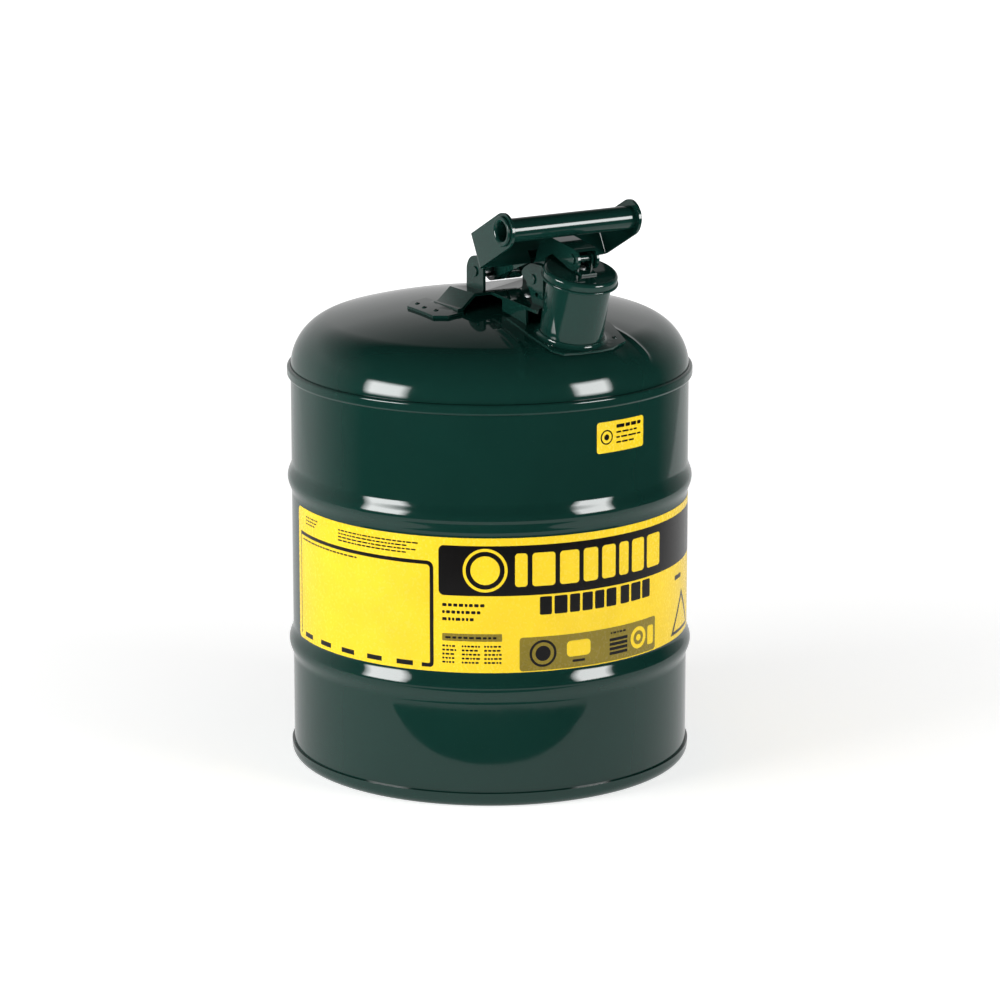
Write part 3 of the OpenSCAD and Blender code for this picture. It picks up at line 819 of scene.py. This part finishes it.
far = 14  # half the floor's side
floor = plane("floor", [(-far, -far, 0), (far, -far, 0), (far, far, 0), (-far, far, 0)],
              floor_finish())
floor.visible_glossy = False

# The white table that the enamel mirrors ends a little in front of the can
mirrored_glow = 0.7
apart = Vector((0, 0, 0.0005))  # between the floor, the table and the card
table_front, table_back, table_half = 0.25, -9, 0.92
table = plane("table", [tuple(towards * a + across * b - apart)
                        for a, b in ((table_front, -table_half), (table_front, table_half),
                                     (table_back, table_half), (table_back, -table_half))],
              glow_finish("table_glow", mirrored_glow))

# A white card lies beyond it, cut back in a curve round the can, and leaves a dark gap between
wall_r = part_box("body_shell")[1].y


def card_edge(reach, degrees):
    """A point that mirror rays from the wall meet after a distance, this far round the can."""
    a = math.radians(degrees)
    flat = (towards * (wall_r * math.cos(a) + reach * math.cos(2 * a))
            + across * (wall_r * math.sin(a) + reach * math.sin(2 * a)))
    return tuple(flat + apart)


card_near, card_far = 0.228, 0.62
card = plane("card", [card_edge(card_near, d) for d in range(-48, 49, 4)]
             + [card_edge(card_far, d) for d in range(48, -49, -4)],
             glow_finish("card_glow", mirrored_glow))
for mirrored in (table, card):
    mirrored.visible_camera = False
    mirrored.visible_diffuse = False
    mirrored.visible_shadow = False


def softbox(name, azimuth, width, height, middle, distance, fill, glint):
    """A standing panel at an azimuth in degrees, facing the can. fill and glint are its
    radiance for soft light and for mirror reflections."""
    a = math.radians(azimuth)
    lamp = bpy.data.lights.new(f"{name}_fill", "AREA")
    lamp.shape = "RECTANGLE"
    lamp.size, lamp.size_y = width, height
    lamp.energy = fill * math.pi * width * height
    panel = bpy.data.objects.new(lamp.name, lamp)
    panel.location = (distance * math.cos(a), distance * math.sin(a), middle)
    panel.rotation_mode = "QUATERNION"
    panel.rotation_quaternion = (Vector((0, 0, 0.2)) - panel.location).to_track_quat("-Z", "Y")
    panel.visible_camera = False
    panel.visible_glossy = False
    scene.collection.objects.link(panel)

    corners = [(x * width / 2, y * height / 2, 0) for x, y in ((-1, -1), (1, -1), (1, 1), (-1, 1))]
    glow = feathered_glow(f"{name}_glow", glint, width, height)
    mirror = plane(f"{name}_glint", corners, glow)
    turn = panel.rotation_quaternion.to_matrix().to_4x4()
    mirror.matrix_world = Matrix.Translation(panel.location) @ turn
    mirror.visible_camera = False
    mirror.visible_diffuse = False
    mirror.visible_shadow = False
    mirror.visible_transmission = False


softbox("softbox_left", azimuth=-92, width=1.1, height=0.95, middle=0.62, distance=2.1,
        fill=9.5, glint=17)
softbox("softbox_right", azimuth=27.5, width=0.95, height=0.95, middle=0.68, distance=2.1,
        fill=6.5, glint=16)

# The room: white to the camera, and in mirror rays bright and low behind the can, dark elsewhere
room_seen, room_fill, room_dark, room_bright = 1.0, 0.12, 0.02, 0.8
world = bpy.data.worlds.new("studio")
scene.world = world
world.use_nodes = True
nodes, links = world.node_tree.nodes, world.node_tree.links
nodes.clear()
path = nodes.new("ShaderNodeLightPath")
ray = nodes.new("ShaderNodeTexCoord")
behind = nodes.new("ShaderNodeVectorMath")
behind.operation = "DOT_PRODUCT"
bright = camera_azimuth + math.radians(198)
behind.inputs[1].default_value = (math.cos(bright), math.sin(bright), 0)
links.new(ray.outputs["Generated"], behind.inputs[0])
wide = ramp(nodes, links, behind.outputs["Value"], 0.1, 0.75, 0, 1)
split = nodes.new("ShaderNodeSeparateXYZ")
links.new(ray.outputs["Generated"], split.inputs[0])
low = ramp(nodes, links, split.outputs["Z"], 0.34, 0.74, 1, 0)
both = nodes.new("ShaderNodeMath")
both.operation = "MULTIPLY"
links.new(wide, both.inputs[0])
links.new(low, both.inputs[1])
mirror_level = ramp(nodes, links, both.outputs[0], 0, 1, room_dark, room_bright)
plain = nodes.new("ShaderNodeMix")
plain.data_type = "FLOAT"
links.new(path.outputs["Is Glossy Ray"], plain.inputs["Factor"])
plain.inputs["A"].default_value = room_fill
links.new(mirror_level, plain.inputs["B"])
seen = nodes.new("ShaderNodeMix")
seen.data_type = "FLOAT"
links.new(path.outputs["Is Camera Ray"], seen.inputs["Factor"])
links.new(plain.outputs["Result"], seen.inputs["A"])
seen.inputs["B"].default_value = room_seen
sky = nodes.new("ShaderNodeBackground")
links.new(seen.outputs["Result"], sky.inputs["Strength"])
links.new(sky.outputs[0], nodes.new("ShaderNodeOutputWorld").inputs["Surface"])

scene.view_settings.view_transform = "Standard"
